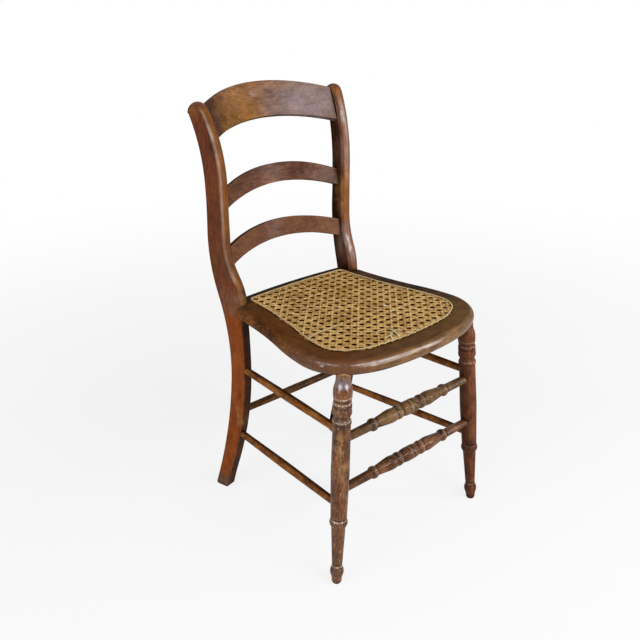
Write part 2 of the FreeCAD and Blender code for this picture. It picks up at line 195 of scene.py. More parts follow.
# what the finishes of all the wood share
wood = {
    "fibre": {"scale": 560, "detail": 6, "roughness": 0.7, "distortion": 0.3},
    "pores": {"scale": 1300, "detail": 3, "roughness": 0.6},
    "broad": {"detail": 4, "roughness": 0.6, "distortion": 0.6},
    "middle": {"scale": 52, "detail": 4, "roughness": 0.62, "distortion": 0.3},
    "blotch": {"scale": 95, "detail": 6, "roughness": 0.7, "distortion": 0.4},
    "scratch": {"detail": 2, "roughness": 0.5},
    "chips": {"scale": 430, "detail": 2, "roughness": 0.5},
    "wander": {"scale": 34, "detail": 4, "roughness": 0.6},    # of the rims of the spots
    "wanderBy": 0.07,
    "fibreLength": 0.07,        # the pattern's scale along the grain, as a share of that across it
    "blotchLength": 0.35,
    "scratchLength": 0.14,
    "blur": 0.006,              # of the limits in height
    "arris": 0.0016,            # radius over which an arris is rubbed
    "bead": 0.004,              # thickness of wood that counts as the top of a bead
    "corner": 0.02,             # reach of the grime and painted shade in a corner
    "groove": 0.007,            # and in a turned groove
    # colour of the grime and painted shade in corners and grooves
    "grimeAndShade": (0.008, 0.004, 0.003),
    # colour of the dark cuts in turned grooves: grime and painted shade of a groove
    "cut": (0.012, 0.006, 0.004),
    "chip": (0.5, 0.36, 0.22),
    "relief": 0.0006,
}

# what a finish has unless it says otherwise
usualLook = {
    "mottle": 13,               # scale of the broad clouds of colour
    "coat": 0.5,                # share of varnish that is left, and how soft its reflections are
    "soften": 0.16,
    "scratch": 560,             # scale of the worn streaks, and how strongly the bare wood shows in them
    "wornBy": 0.55,
    "rub": 0.5,                 # how strongly it shows on the arrises
    "chips": 0.8,               # the higher, the fewer
    "bump": 0.35,
    "sides": [],                # faces, by the way they look, that have another colour: a tone of their own, painted shade or a painted highlight
    "spots": [],                # and patches that do, by their place: stains, wear, painted sheen and painted highlights
}


def banded(paint, value, places, half):
    # 1 on each of several thin lines across a turned piece
    total = None
    for spot in places:
        line = step(paint, paint.maths("ABSOLUTE", value - spot), half, half * 0.3)
        total = line if total is None else paint.maths("MAXIMUM", total, line)
    return total


def woodGrain(paint, look):
    # the patterns that the colour, the wear and the relief share
    place = objectPlace(paint)
    along = stretched(paint, place, look["grain"], wood["fibreLength"])
    fibre = noise(paint, along, **wood["fibre"])
    middle = noise(paint, place, **wood["middle"])
    return {
        "place": place,
        "normal": paint.node("ShaderNodeNewGeometry", out="Normal"),
        "fibre": fibre,
        "middle": middle,
        "pores": noise(paint, along, **wood["pores"]),
        "broad": noise(paint, place, look["mottle"], **wood["broad"]),
        "streaky": step(paint, middle * 0.3 + fibre * 0.7, 0.4, 0.6),
    }


def paintSides(paint, look, grain, colour):
    # also says where the surface is lively: gloss, chips and scratches keep off the dull faces
    lively = 1.0
    height = paint.node("ShaderNodeSeparateXYZ", {}, {0: grain["place"]}, out="Z")
    for side in look["sides"]:
        area = facing(paint, grain["normal"], side["way"], side["from"], side["to"])
        if "heights" in side:
            area = area * between(paint, height, side["heights"], wood["blur"])
        cover = area * (0.75 + grain["streaky"] * 0.25) * side["strength"]
        colour = tinted(paint, cover, colour, side["colour"])
        if "dull" in side:
            lively = (1.0 - area * side["dull"]) * lively
    return colour, lively


def paintSpots(paint, look, grain, colour, polish):
    # the rim of a spot wanders unless it is neat
    wander = noise(paint, grain["place"], **wood["wander"], out="Color")
    wander = paint.vector("SUBTRACT", wander, (0.5, 0.5, 0.5))
    wander = paint.vector("MULTIPLY", wander, (wood["wanderBy"],) * 3)
    ragged = paint.vector("ADD", grain["place"], wander)
    for spot in look["spots"]:
        place = grain["place"] if "neat" in spot else ragged
        area = patch(paint, place, spot["centre"], spot["radius"])
        cover = area * (0.5 + grain["streaky"] * 0.5) * spot["strength"]
        colour = tinted(paint, cover, colour, spot["colour"])
        if "shine" in spot:
            polish = polish + area * spot["shine"]
    return colour, polish


def paintRings(paint, rings, grain, colour):
    # pale lines, partly rubbed wood and partly painted highlight, and dark cuts of grime and painted groove
    # shade, at heights or at distances either side of the chair's middle
    value = paint.node("ShaderNodeSeparateXYZ", {}, {0: grain["place"]}, out="Z" if rings["up"] else "X")
    if not rings["up"]:
        value = paint.maths("ABSOLUTE", value)
    value = value + (grain["middle"] - 0.5) * 0.003
    lines = banded(paint, value, rings["at"], rings["half"]) * step(paint, grain["fibre"], 0.4, 0.62)
    colour = tinted(paint, lines * rings["strength"], colour, rings["colour"])
    cut = banded(paint, value, rings["cuts"], rings["half"] * 0.9)
    return tinted(paint, cut * 0.75, colour, wood["cut"]), cut


def woodFinish(name, changes):
    look = {**usualLook, **changes}
    material, paint = newPaint(name)
    grain = woodGrain(paint, look)
    place = grain["place"]
    fibre = grain["fibre"]
    middle = grain["middle"]
    broad = grain["broad"]
    streaky = grain["streaky"]
    tone = step(paint, broad * 0.42 + middle * 0.13 + fibre * 0.45, 0.38, 0.62)
    colour = toned(paint, tone, look["tones"])
    polish = look["coat"] * (0.55 + streaky * 0.45)
    colour, lively = paintSides(paint, look, grain, colour)
    colour, polish = paintSpots(paint, look, grain, colour, polish)
    polish = polish * lively
    blotch = noise(paint, stretched(paint, place, look["grain"], wood["blotchLength"]), **wood["blotch"])
    colour = tinted(paint, 1.0, colour, 0.1 + blotch * 1.8, "MULTIPLY")

    # scratches and worn streaks along the grain, where the varnish has gone
    along = stretched(paint, place, look["grain"], wood["scratchLength"])
    scratch = noise(paint, along, look["scratch"], **wood["scratch"])
    limit = 1.0 - look["wear"]
    worn = step(paint, scratch * 0.75 + middle * 0.3 + broad * 0.1, limit, limit + 0.05)
    colour = tinted(paint, worn * lively * look["wornBy"], colour, look["bare"])

    # rubbed arrises, and the tops of the turned beads paler as rubbed wood and as a painted highlight
    soft = paint.node("ShaderNodeBevel", {"samples": 6}, {"Radius": wood["arris"]})
    edge = paint.vector("DOT_PRODUCT", soft, grain["normal"], out="Value")
    rubbedAndHighlit = step(paint, 1.0 - edge, 0.01, 0.14) * step(paint, middle, 0.42, 0.6)
    if "beads" in look:
        thin = openness(paint, wood["bead"], 8, inside=True, only_local=True)
        rubbedAndHighlit = rubbedAndHighlit + step(paint, 1.0 - thin, 0.3, 0.62) * (0.4 + streaky * 0.6) * look["beads"]
    colour = tinted(paint, rubbedAndHighlit * look["rub"], colour, look["bare"])
    cut = 0.0
    if "rings" in look:
        colour, cut = paintRings(paint, look["rings"], grain, colour)

    # grime and painted shade in the corners, and a darker line of grime and painted shade in each groove
    grimeAndShade = 1.0 - step(paint, openness(paint, wood["corner"]), 0.25, 0.85)
    if "beads" in look:
        near = openness(paint, wood["groove"], 8, only_local=True)
        grimeAndShade = paint.maths("MAXIMUM", grimeAndShade, 1.0 - step(paint, near, 0.6, 0.97))
    colour = tinted(paint, grimeAndShade * 0.85, colour, wood["grimeAndShade"])

    # small pale chips
    chips = noise(paint, place, **wood["chips"])
    chipped = step(paint, chips + broad * 0.12, look["chips"], look["chips"] + 0.03) * lively
    colour = tinted(paint, chipped * 0.8, colour, wood["chip"])

    rough = look["gloss"] + middle * 0.16 + worn * 0.2 + chipped * 0.2
    relief = fibre * 0.5 + grain["pores"] * 0.3 - worn * 0.25 - chipped * 0.6 + broad * 0.5 - cut * 1.5
    bump = paint.node("ShaderNodeBump", {}, {"Height": relief, "Strength": look["bump"],
                                             "Distance": wood["relief"], "Normal": soft})
    polish = polish * (1.0 - worn * 0.5) * (1.0 - grimeAndShade * 0.9)
    shader = paint.node("ShaderNodeBsdfPrincipled", {}, {
        "Base Color": colour, "Roughness": rough, "Normal": bump, "Specular IOR Level": 0,
        "Coat Weight": paint.maths("ADD", polish, 0.0, clamp=True), "Coat Roughness": look["soften"]})
    finishWith(paint, shader)
    return material


postTones = [(0.05, 0.014, 0.006), (0.125, 0.034, 0.011), (0.21, 0.066, 0.02)]
legTones = [(0.045, 0.015, 0.005), (0.12, 0.042, 0.014), (0.25, 0.104, 0.038)]
slatTones = [(0.05, 0.018, 0.01), (0.125, 0.046, 0.022), (0.24, 0.105, 0.052)]
seatTones = [(0.035, 0.01, 0.003), (0.125, 0.04, 0.008), (0.22, 0.085, 0.018)]
golden = (0.195, 0.07, 0.013)
# blackBrown is the colour of the painted shade on undersides, inner faces and faces below the seat, and of
# the darker top faces
blackBrown = (0.012, 0.005, 0.003)
# undersides painted near-black: painted shade
shadedUnderside = {"way": (0, 0, -1), "from": 0.4, "to": 0.8,
              "colour": blackBrown, "strength": 0.8, "dull": 0.8}
topEdge = {"way": (0, 0, 1), "from": 0.75, "to": 0.9,
           "colour": blackBrown, "strength": 0.8, "dull": 0.7}
# pale ring lines, rubbed wood and painted highlight, and dark cuts, grime and painted shade of a groove
legRings = {
    "up": True,
    "at": (0.376, 0.3655, 0.332, 0.136, 0.038),
    "cuts": (0.3705, 0.359, 0.342, 0.3255, 0.139, 0.0415),
}
stretcherRings = {
    "up": False,
    "at": (0.0, 0.0305, 0.0975),
    "cuts": (0.0055, 0.0222, 0.038, 0.0892, 0.105),
    "half": 0.002, "strength": 0.5, "colour": (0.42, 0.37, 0.3),
}

# each finish: the axis of its grain, three tones of the varnish, the colour of the bare wood and how much
# of it shows, the roughness under the gloss, and what differs from the usual look
finishes = {
    "crest": {
        "grain": "x", "tones": [(0.075, 0.03, 0.014), (0.18, 0.08, 0.036), (0.28, 0.135, 0.06)],
        "bare": (0.34, 0.18, 0.06), "wear": 0.27, "gloss": 0.3, "chips": 0.83, "coat": 0.2, "soften": 0.38,
        "sides": [shadedUnderside, topEdge],
        "spots": [
            # the amber patch
            {"centre": (-0.108, 0.205, 0.785), "radius": (0.04, 0.08, 0.035),
             "colour": (0.26, 0.115, 0.024), "strength": 0.9},
            {"centre": (-0.045, 0.215, 0.790), "radius": (0.07, 0.08, 0.045),
             "colour": (0.25, 0.11, 0.024), "strength": 0.9},
            # the dark left end, a painted sheen on the right end and a scuff
            {"centre": (-0.156, 0.190, 0.800), "radius": (0.07, 0.1, 0.1),
             "colour": (0.05, 0.02, 0.01), "strength": 1.6},
            {"centre": (0.11, 0.205, 0.795), "radius": (0.16, 0.12, 0.09),
             "colour": (0.22, 0.165, 0.172), "strength": 0.95, "shine": 0.45},
            {"centre": (-0.010, 0.228, 0.822), "radius": (0.014, 0.03, 0.007),
             "colour": (0.4, 0.3, 0.24), "strength": 0.45},
        ],
    },
    "slat": {
        "grain": "x", "tones": slatTones, "bare": (0.28, 0.13, 0.05), "wear": 0.3, "gloss": 0.3,
        "chips": 0.82, "coat": 0.15, "mottle": 9,
        "sides": [shadedUnderside, topEdge],
        "spots": [
            # painted sheen on the right ends of the slats
            {"centre": (0.125, 0.158, 0.645), "radius": (0.08, 0.08, 0.07),
             "colour": (0.17, 0.1, 0.085), "strength": 0.7, "shine": 0.3},
            {"centre": (0.125, 0.150, 0.545), "radius": (0.09, 0.08, 0.07),
             "colour": (0.16, 0.08, 0.05), "strength": 0.6},
            {"centre": (-0.03, 0.165, 0.545), "radius": (0.2, 0.1, 0.08),
             "colour": (0.1, 0.04, 0.02), "strength": 0.7},
            {"centre": (-0.05, 0.175, 0.655), "radius": (0.17, 0.1, 0.08),
             "colour": (0.2, 0.09, 0.055), "strength": 0.5},
        ],
    },
    "postLeft": {
        "grain": "z", "tones": postTones, "bare": (0.42, 0.21, 0.08), "wear": 0.28, "gloss": 0.32,
        "chips": 0.79, "coat": 0.5,
        "sides": [
            {"way": (0, -1, 0), "from": 0.6, "to": 0.85, "heights": (0.445, 0.9),
             "colour": golden, "strength": 0.85, "dull": 0.6},
            # painted shade on the front face below the seat
            {"way": (0, -1, 0), "from": 0.7, "to": 0.9, "heights": (-0.1, 0.445),
             "colour": blackBrown, "strength": 0.8, "dull": 0.7},
            # painted shade on the inner face
            {"way": (1, 0, 0), "from": 0.7, "to": 0.9,
             "colour": blackBrown, "strength": 0.85, "dull": 0.9},
            {"way": (-1, 0, 0), "from": 0.8, "to": 0.95, "heights": (0.03, 0.42),
             "colour": (0.27, 0.065, 0.014), "strength": 0.75, "dull": 0.85},
            {"way": (-1, 0, 0), "from": 0.8, "to": 0.95, "heights": (0.48, 0.9),
             "colour": (0.125, 0.036, 0.016), "strength": 0.6, "dull": 0.7},
            # a pale streak down the rounded front arris: painted highlight, and rubbed wear
            {"way": (-0.53, -0.83, 0.17), "from": 0.88, "to": 0.96, "heights": (0.49, 0.835),
             "colour": (0.33, 0.25, 0.21), "strength": 0.5},
        ],
        "spots": [
            # the foot, the crown, the seat joint, a chip and the shade behind the seat
            {"centre": (-0.174, 0.166, 0.010), "radius": (0.05, 0.05, 0.045),
             "colour": (0.1, 0.055, 0.025), "strength": 0.8},
            {"centre": (-0.180, 0.195, 0.810), "radius": (0.04, 0.03, 0.03),
             "colour": (0.24, 0.09, 0.025), "strength": 0.7},
            {"centre": (-0.153, 0.099, 0.452), "radius": (0.03, 0.03, 0.03),
             "colour": (0.26, 0.15, 0.08), "strength": 0.6},
            {"centre": (-0.157, 0.112, 0.190), "radius": (0.02, 0.012, 0.03),
             "colour": (0.4, 0.22, 0.08), "strength": 0.5},
            {"centre": (-0.162, 0.130, 0.540), "radius": (0.04, 0.05, 0.09),
             "colour": (0.12, 0.045, 0.02), "strength": 0.7},
            {"centre": (-0.140, 0.105, 0.475), "radius": (0.02, 0.03, 0.04),
             "colour": (0.02, 0.011, 0.008), "strength": 1.2},
        ],
    },
    "postRight": {
        "grain": "z", "tones": postTones, "bare": (0.46, 0.25, 0.1), "wear": 0.3, "gloss": 0.3,
        "chips": 0.8, "coat": 0.4,
        "sides": [
            {"way": (0, -1, 0), "from": 0.6, "to": 0.85, "heights": (0.445, 0.9),
             "colour": (0.2, 0.068, 0.02), "strength": 0.85},
            # painted shade on the front face below the seat
            {"way": (0, -1, 0), "from": 0.7, "to": 0.9, "heights": (-0.1, 0.445),
             "colour": blackBrown, "strength": 0.8, "dull": 0.7},
            # painted shade on the inner front arris and the inner face
            {"way": (-0.8, -0.6, 0), "from": 0.86, "to": 0.96,
             "colour": (0.06, 0.017, 0.007), "strength": 0.9},
            {"way": (-1, 0, 0), "from": 0.7, "to": 0.9,
             "colour": blackBrown, "strength": 0.88, "dull": 0.95},
        ],
        "spots": [
            {"centre": (0.162, 0.150, 0.775), "radius": (0.03, 0.03, 0.05),
             "colour": (0.12, 0.055, 0.035), "strength": 0.7},
            {"centre": (0.153, 0.138, 0.600), "radius": (0.03, 0.03, 0.08),
             "colour": (0.3, 0.12, 0.03), "strength": 0.7},
            {"centre": (0.150, 0.120, 0.500), "radius": (0.03, 0.05, 0.07),
             "colour": (0.17, 0.07, 0.04), "strength": 0.9, "shine": 0.5},
            {"centre": (0.160, 0.140, 0.700), "radius": (0.03, 0.04, 0.06),
             "colour": (0.2, 0.09, 0.06), "strength": 0.6, "shine": 0.4},
            {"centre": (0.165, 0.176, 0.818), "radius": (0.02, 0.025, 0.02),
             "colour": (0.25, 0.09, 0.015), "strength": 0.5},
            # painted highlight streaks down the front
            {"centre": (0.1615, 0.150, 0.765), "radius": (0.008, 0.06, 0.06),
             "colour": (0.45, 0.37, 0.34), "strength": 0.75, "neat": True},
            {"centre": (0.1570, 0.140, 0.670), "radius": (0.007, 0.06, 0.07),
             "colour": (0.36, 0.24, 0.17), "strength": 0.6, "neat": True},
            {"centre": (0.1480, 0.115, 0.500), "radius": (0.008, 0.06, 0.06),
             "colour": (0.4, 0.3, 0.27), "strength": 0.4, "neat": True},
        ],
    },
    "legLeft": {
        "grain": "z", "tones": legTones, "bare": (0.46, 0.27, 0.12), "wear": 0.32, "gloss": 0.26,
        "chips": 0.76, "rub": 0.7, "beads": 0.8, "coat": 0.7, "soften": 0.1,
        "scratch": 640, "bump": 0.22,
        "rings": {**legRings, "half": 0.002, "strength": 0.75, "colour": (0.66, 0.57, 0.47)},
        "spots": [
            # bare streaks, and a paler neck
            {"centre": (-0.188, -0.216, 0.290), "radius": (0.012, 0.014, 0.055),
             "colour": (0.42, 0.24, 0.09), "strength": 0.85},
            {"centre": (-0.186, -0.214, 0.230), "radius": (0.009, 0.014, 0.035),
             "colour": (0.32, 0.16, 0.06), "strength": 0.7},
            {"centre": (-0.186, -0.212, 0.352), "radius": (0.018, 0.018, 0.024),
             "colour": (0.3, 0.14, 0.05), "strength": 0.6},
            # painted sheen on the bulb, and its two painted glints
            {"centre": (-0.177, -0.202, 0.404), "radius": (0.03, 0.03, 0.016),
             "colour": (0.17, 0.14, 0.15), "strength": 0.9, "neat": True},
            {"centre": (-0.180, -0.205, 0.400), "radius": (0.006, 0.006, 0.008),
             "colour": (0.62, 0.64, 0.7), "strength": 0.8, "neat": True},
            {"centre": (-0.171, -0.213, 0.400), "radius": (0.006, 0.006, 0.008),
             "colour": (0.62, 0.64, 0.7), "strength": 0.8, "neat": True},
            # the darker foot
            {"centre": (-0.194, -0.217, 0.060), "radius": (0.05, 0.05, 0.12),
             "colour": (0.07, 0.028, 0.01), "strength": 0.7},
        ],
    },
    "legRight": {
        "grain": "z", "tones": [(0.035, 0.01, 0.004), (0.1, 0.03, 0.011), (0.18, 0.06, 0.022)],
        "bare": (0.34, 0.18, 0.08), "wear": 0.24, "gloss": 0.26, "chips": 0.8, "rub": 0.6, "beads": 0.6,
        "rings": {**legRings, "half": 0.0018, "strength": 0.5, "colour": (0.42, 0.32, 0.24)},
        "coat": 0.3,
        "sides": [
            # painted shade down the left side of the leg
            {"way": (-0.97, -0.2, 0), "from": 0.7, "to": 0.95,
             "colour": (0.04, 0.015, 0.007), "strength": 0.5, "dull": 0.4},
        ],
    },
    "frontRail": {
        "grain": "x", "tones": [(0.07, 0.03, 0.009), (0.155, 0.07, 0.02), (0.25, 0.12, 0.036)],
        "bare": (0.3, 0.17, 0.06), "wear": 0.25, "gloss": 0.2, "chips": 0.82, "coat": 0.75, "soften": 0.13,
        "bump": 0.15,
        "sides": [
            {"way": (0, 0, 1), "from": 0.75, "to": 1.0,
             "colour": (0.095, 0.041, 0.011), "strength": 0.9, "dull": 0.85},
            # painted highlights along the nose
            {"way": (-0.26, -0.83, 0.5), "from": 0.935, "to": 0.99,
             "colour": (0.47, 0.37, 0.3), "strength": 0.85},
            {"way": (-0.6, -0.63, 0.5), "from": 0.96, "to": 1.0,
             "colour": (0.44, 0.33, 0.28), "strength": 0.75},
            {"way": (-0.76, -0.38, 0.53), "from": 0.96, "to": 1.0,
             "colour": (0.42, 0.32, 0.28), "strength": 0.75},
            {"way": (0.5, -0.55, 0.6), "from": 0.88, "to": 0.98,
             "colour": (0.22, 0.1, 0.027), "strength": 0.6, "dull": 0.8},
            shadedUnderside,
        ],
        "spots": [
            {"centre": (-0.180, -0.190, 0.430), "radius": (0.14, 0.1, 0.08),
             "colour": (0.11, 0.037, 0.01), "strength": 1.3},
            {"centre": (0.150, -0.200, 0.430), "radius": (0.14, 0.08, 0.06),
             "colour": (0.13, 0.068, 0.018), "strength": 0.8},
        ],
    },
    "sideRail": {
        "grain": "y", "tones": seatTones, "bare": (0.28, 0.13, 0.05), "wear": 0.3, "gloss": 0.24,
        "chips": 0.76, "coat": 0.14, "wornBy": 0.4, "soften": 0.13, "bump": 0.15,
        "sides": [
            {"way": (0, 0, 1), "from": 0.7, "to": 1.0,
             "colour": (0.12, 0.042, 0.012), "strength": 0.8, "dull": 0.8},
            shadedUnderside,
        ],
        "spots": [
            {"centre": (-0.190, -0.170, 0.430), "radius": (0.1, 0.12, 0.08),
             "colour": (0.11, 0.037, 0.01), "strength": 1.2, "shine": 0.45},
            {"centre": (-0.150, 0.085, 0.448), "radius": (0.03, 0.032, 0.014),
             "colour": (0.045, 0.027, 0.016), "strength": 0.9},
        ],
    },
    "farRail": {
        "grain": "y", "tones": [(0.014, 0.006, 0.003), (0.045, 0.018, 0.006), (0.1, 0.045, 0.014)],
        "bare": (0.28, 0.13, 0.05), "wear": 0.27, "gloss": 0.24, "chips": 0.82, "coat": 0.13,
        "sides": [shadedUnderside],
        "spots": [
            {"centre": (0.195, -0.150, 0.430), "radius": (0.06, 0.09, 0.06),
             "colour": (0.11, 0.055, 0.016), "strength": 0.8},
        ],
    },
    "backRail": {
        "grain": "x", "tones": [(0.014, 0.006, 0.003), (0.032, 0.014, 0.006), (0.065, 0.03, 0.012)],
        "bare": (0.2, 0.12, 0.06), "wear": 0.28, "gloss": 0.28, "chips": 0.82, "coat": 0.1},
    "turned": {
        "grain": "x", "tones": [(0.04, 0.019, 0.007), (0.11, 0.052, 0.018), (0.2, 0.1, 0.038)],
        "bare": (0.4, 0.26, 0.13), "wear": 0.31, "gloss": 0.26, "chips": 0.8, "rub": 0.7, "beads": 0.9,
        "rings": stretcherRings,
        "coat": 0.5,
        "sides": [
            # painted shade on the upper back, under the seat
            {"way": (0, 0.6, 0.8), "from": 0.6, "to": 0.98,
             "colour": (0.04, 0.024, 0.012), "strength": 0.7},
        ],
    },
    "turnedLow": {
        "grain": "x", "tones": [(0.045, 0.016, 0.006), (0.12, 0.042, 0.014), (0.21, 0.09, 0.033)],
        "bare": (0.4, 0.25, 0.12), "wear": 0.31, "gloss": 0.26, "chips": 0.8, "rub": 0.7, "beads": 0.9,
        "rings": stretcherRings,
        "coat": 0.5,
        "sides": [
            # painted shade on the upper back, under the seat
            {"way": (0, 0.6, 0.8), "from": 0.6, "to": 0.98,
             "colour": (0.04, 0.02, 0.01), "strength": 0.7},
        ],
    },
    "plain": {
        "grain": "y", "tones": [(0.07, 0.023, 0.005), (0.24, 0.078, 0.015), (0.38, 0.155, 0.036)],
        "bare": (0.4, 0.2, 0.07), "wear": 0.3, "gloss": 0.3, "chips": 0.82, "coat": 0.2,
        "sides": [
            # painted shade on the tops, under the seat
            {"way": (0.3, 0, 0.95), "from": 0.6, "to": 0.9,
             "colour": (0.018, 0.009, 0.006), "strength": 0.85, "dull": 0.7},
        ],
    },
    "rear": {
        "grain": "x", "tones": [(0.05, 0.02, 0.008), (0.1, 0.042, 0.014), (0.17, 0.075, 0.025)],
        "bare": (0.3, 0.16, 0.06), "wear": 0.3, "gloss": 0.32, "chips": 0.82, "coat": 0.15},
}

finishOf = {
    "crest_rail": "crest", "upper_slat": "slat", "lower_slat": "slat",
    "left_back_post": "postLeft", "right_back_post": "postRight",
    "left_front_leg": "legLeft", "right_front_leg": "legRight",
    "seat_front_rail": "frontRail", "seat_left_rail": "sideRail", "seat_right_rail": "farRail",
    "seat_back_rail": "backRail", "seat_frame_dowels": "rear",
    "upper_front_stretcher": "turned", "lower_front_stretcher": "turnedLow",
    "left_upper_stretcher": "plain", "left_lower_stretcher": "plain",
    "right_upper_stretcher": "plain", "right_lower_stretcher": "plain",
    "rear_stretcher": "rear",
}
finished = {}
for nodeName, finishName in finishOf.items():
    if finishName not in finished:
        finished[finishName] = woodFinish(finishName, finishes[finishName])
    slots = nodes[nodeName].data.materials
    slots.clear()
    slots.append(finished[finishName])
print("wood finished")

# the caned seat
cane = {
    "pitch": 0.01745,
    "firstRow": 0.033,          # of the gaps, from the front feet
    "datum": -0.220322,         # the front feet, from the middle of the chair
    "width": 0.0033,
    "pairOffset": 0.0020,
    "thickness": 0.0007,
    "crown": 0.0003,
    "pairWave": 0.00062,
    "slantWave": 0.00078,
    "middle": 0.44625,          # height of the middle of the weave
    "tuck": 0.0018,             # how far the ends stop short of the binder's outer edge
    "shortest": 0.008,          # a strand under this length is left out
    "steps": 8,                 # faces along a strand in one pitch
    "rows": 24,                 # tried either side of the middle, more than the seat holds
    "seed": 7,
    "tones": [(0.27, 0.125, 0.028), (0.55, 0.31, 0.084), (0.8, 0.54, 0.21)],
    # colour of the grime and painted shade in the weave's crevices, and its share
    "dirtAndShade": (0.09, 0.045, 0.018),
    "dirtAndShadeShare": 0.8,
    "markColour": (0.8, 0.74, 0.62),
    "marks": [{"centre": (0.0534, -0.0857, 0.447), "radius": (0.007, 0.005, 0.004)},
              {"centre": (-0.0402, -0.0903, 0.447), "radius": (0.004, 0.0035, 0.004)}],
}
merging = 0.00001               # points nearer than this are one
flush = 0.0001                  # and a face this near the top of a sheet is its upper side


def binderLoop():
    # the outer edge of the binder, as points in order
    bm = bmesh.new()
    bm.from_mesh(nodes["cane_binder"].data)
    bmesh.ops.remove_doubles(bm, verts=bm.verts, dist=merging)
    top = max(vert.co.z for vert in bm.verts)
    upper = [face for face in bm.faces if min(vert.co.z for vert in face.verts) > top - flush]
    left = [edge for edge in bm.edges if sum(face in upper for face in edge.link_faces) == 1]
    loops = []
    while left:
        edge = left.pop(0)
        loop = [edge.verts[0], edge.verts[1]]
        while True:
            following = [other for other in loop[-1].link_edges if other in left]
            if not following:
                break
            left.remove(following[0])
            loop.append(following[0].other_vert(loop[-1]))
        loops.append([vert.co.xy.copy() for vert in loop])
    bm.free()
    return max(loops, key=lambda loop: max(point.x for point in loop))


def crossings(loop, start, way):
    # how far along a line it enters and leaves the loop
    found = []
    for first, second in zip(loop, loop[1:] + loop[:1]):
        run = second - first
        across = way.x * run.y - way.y * run.x
        if abs(across) < 1e-12:
            continue
        gap = first - start
        share = (gap.x * way.y - gap.y * way.x) / across
        if 0 <= share < 1:
            found.append((gap.x * run.y - gap.y * run.x) / across)
    return sorted(found)


def layStrand(bm, layer, loop, start, way, height, tone):
    side = Vector((-way.y, way.x))
    stride = cane["pitch"] / cane["steps"] / max(abs(way.x), abs(way.y))
    found = crossings(loop, start, way)
    for enter, leave in zip(found[::2], found[1::2]):
        enter += cane["tuck"]
        leave -= cane["tuck"]
        if leave - enter < cane["shortest"]:
            continue
        count = max(2, round((leave - enter) / stride))
        grid = bmesh.ops.create_grid(bm, x_segments=2, y_segments=count, size=0.5)
        for vert in grid["verts"]:
            across = vert.co.x * 2
            spot = start + way * (enter + (leave - enter) * (vert.co.y + 0.5))
            rise = height(spot) + cane["crown"] * (1 - across * across)
            spot = spot + side * (across * cane["width"] / 2)
            vert.co = (spot.x, spot.y, cane["middle"] + rise)
            vert[layer] = tone


def weaveCane():
    # pairs up and down, pairs across and single strands both ways on the slant
    loop = binderLoop()
    bm = bmesh.new()
    layer = bm.verts.layers.float.new("tone")
    chance = random.Random(cane["seed"])
    pitch = cane["pitch"]
    rowZero = cane["datum"] + cane["firstRow"] - pitch / 2
    turn = 2 * math.pi / pitch
    for k in range(-cane["rows"], cane["rows"]):
        for sign in (-1, 1):
            offset = sign * cane["pairOffset"]
            wave = -sign * cane["pairWave"]
            layStrand(bm, layer, loop, Vector((k * pitch + offset, -1)), Vector((0, 1)),
                      lambda spot, wave=wave: wave * math.sin((spot.y - rowZero) * turn), chance.random())
            layStrand(bm, layer, loop, Vector((-1, rowZero + k * pitch + offset)), Vector((1, 0)),
                      lambda spot, wave=wave: -wave * math.sin(spot.x * turn), chance.random())
    slant = Vector((1, 1)).normalized()
    for k in range(-cane["rows"] * 2, cane["rows"] * 2):
        for sign in (-1, 1):
            wave = sign * cane["slantWave"]
            way = Vector((slant.x, slant.y * sign))
            start = Vector(((k + 0.5) * pitch, rowZero)) - way
            layStrand(bm, layer, loop, start, way,
                      lambda spot, wave=wave: wave * math.cos((spot.y - rowZero) * turn), chance.random())
    bmesh.ops.recalc_face_normals(bm, faces=bm.faces)
    bmesh.ops.solidify(bm, geom=bm.faces[:], thickness=cane["thickness"])
    bmesh.ops.recalc_face_normals(bm, faces=bm.faces)
    piece = newPiece("cane_strands", bm)
    piece.data.shade_smooth()
    return piece


# the binder round the caned panel
binder = {
    "inset": 0.0009,            # narrower than the row of holes, which show along it
    "thickness": 0.0011,
    "round": 0.0003,
    "tieWidth": 0.0016,
    "tieReach": 0.0018,
    "tieRise": 0.0004,
    "tiePlace": 0.0022,         # in from the outer edge
    "seed": 3,
    "tones": [(0.56, 0.38, 0.17), (0.72, 0.53, 0.27), (0.85, 0.7, 0.42)],
    # share of the grime and painted shade
    "dirtAndShadeShare": 0.2,
}


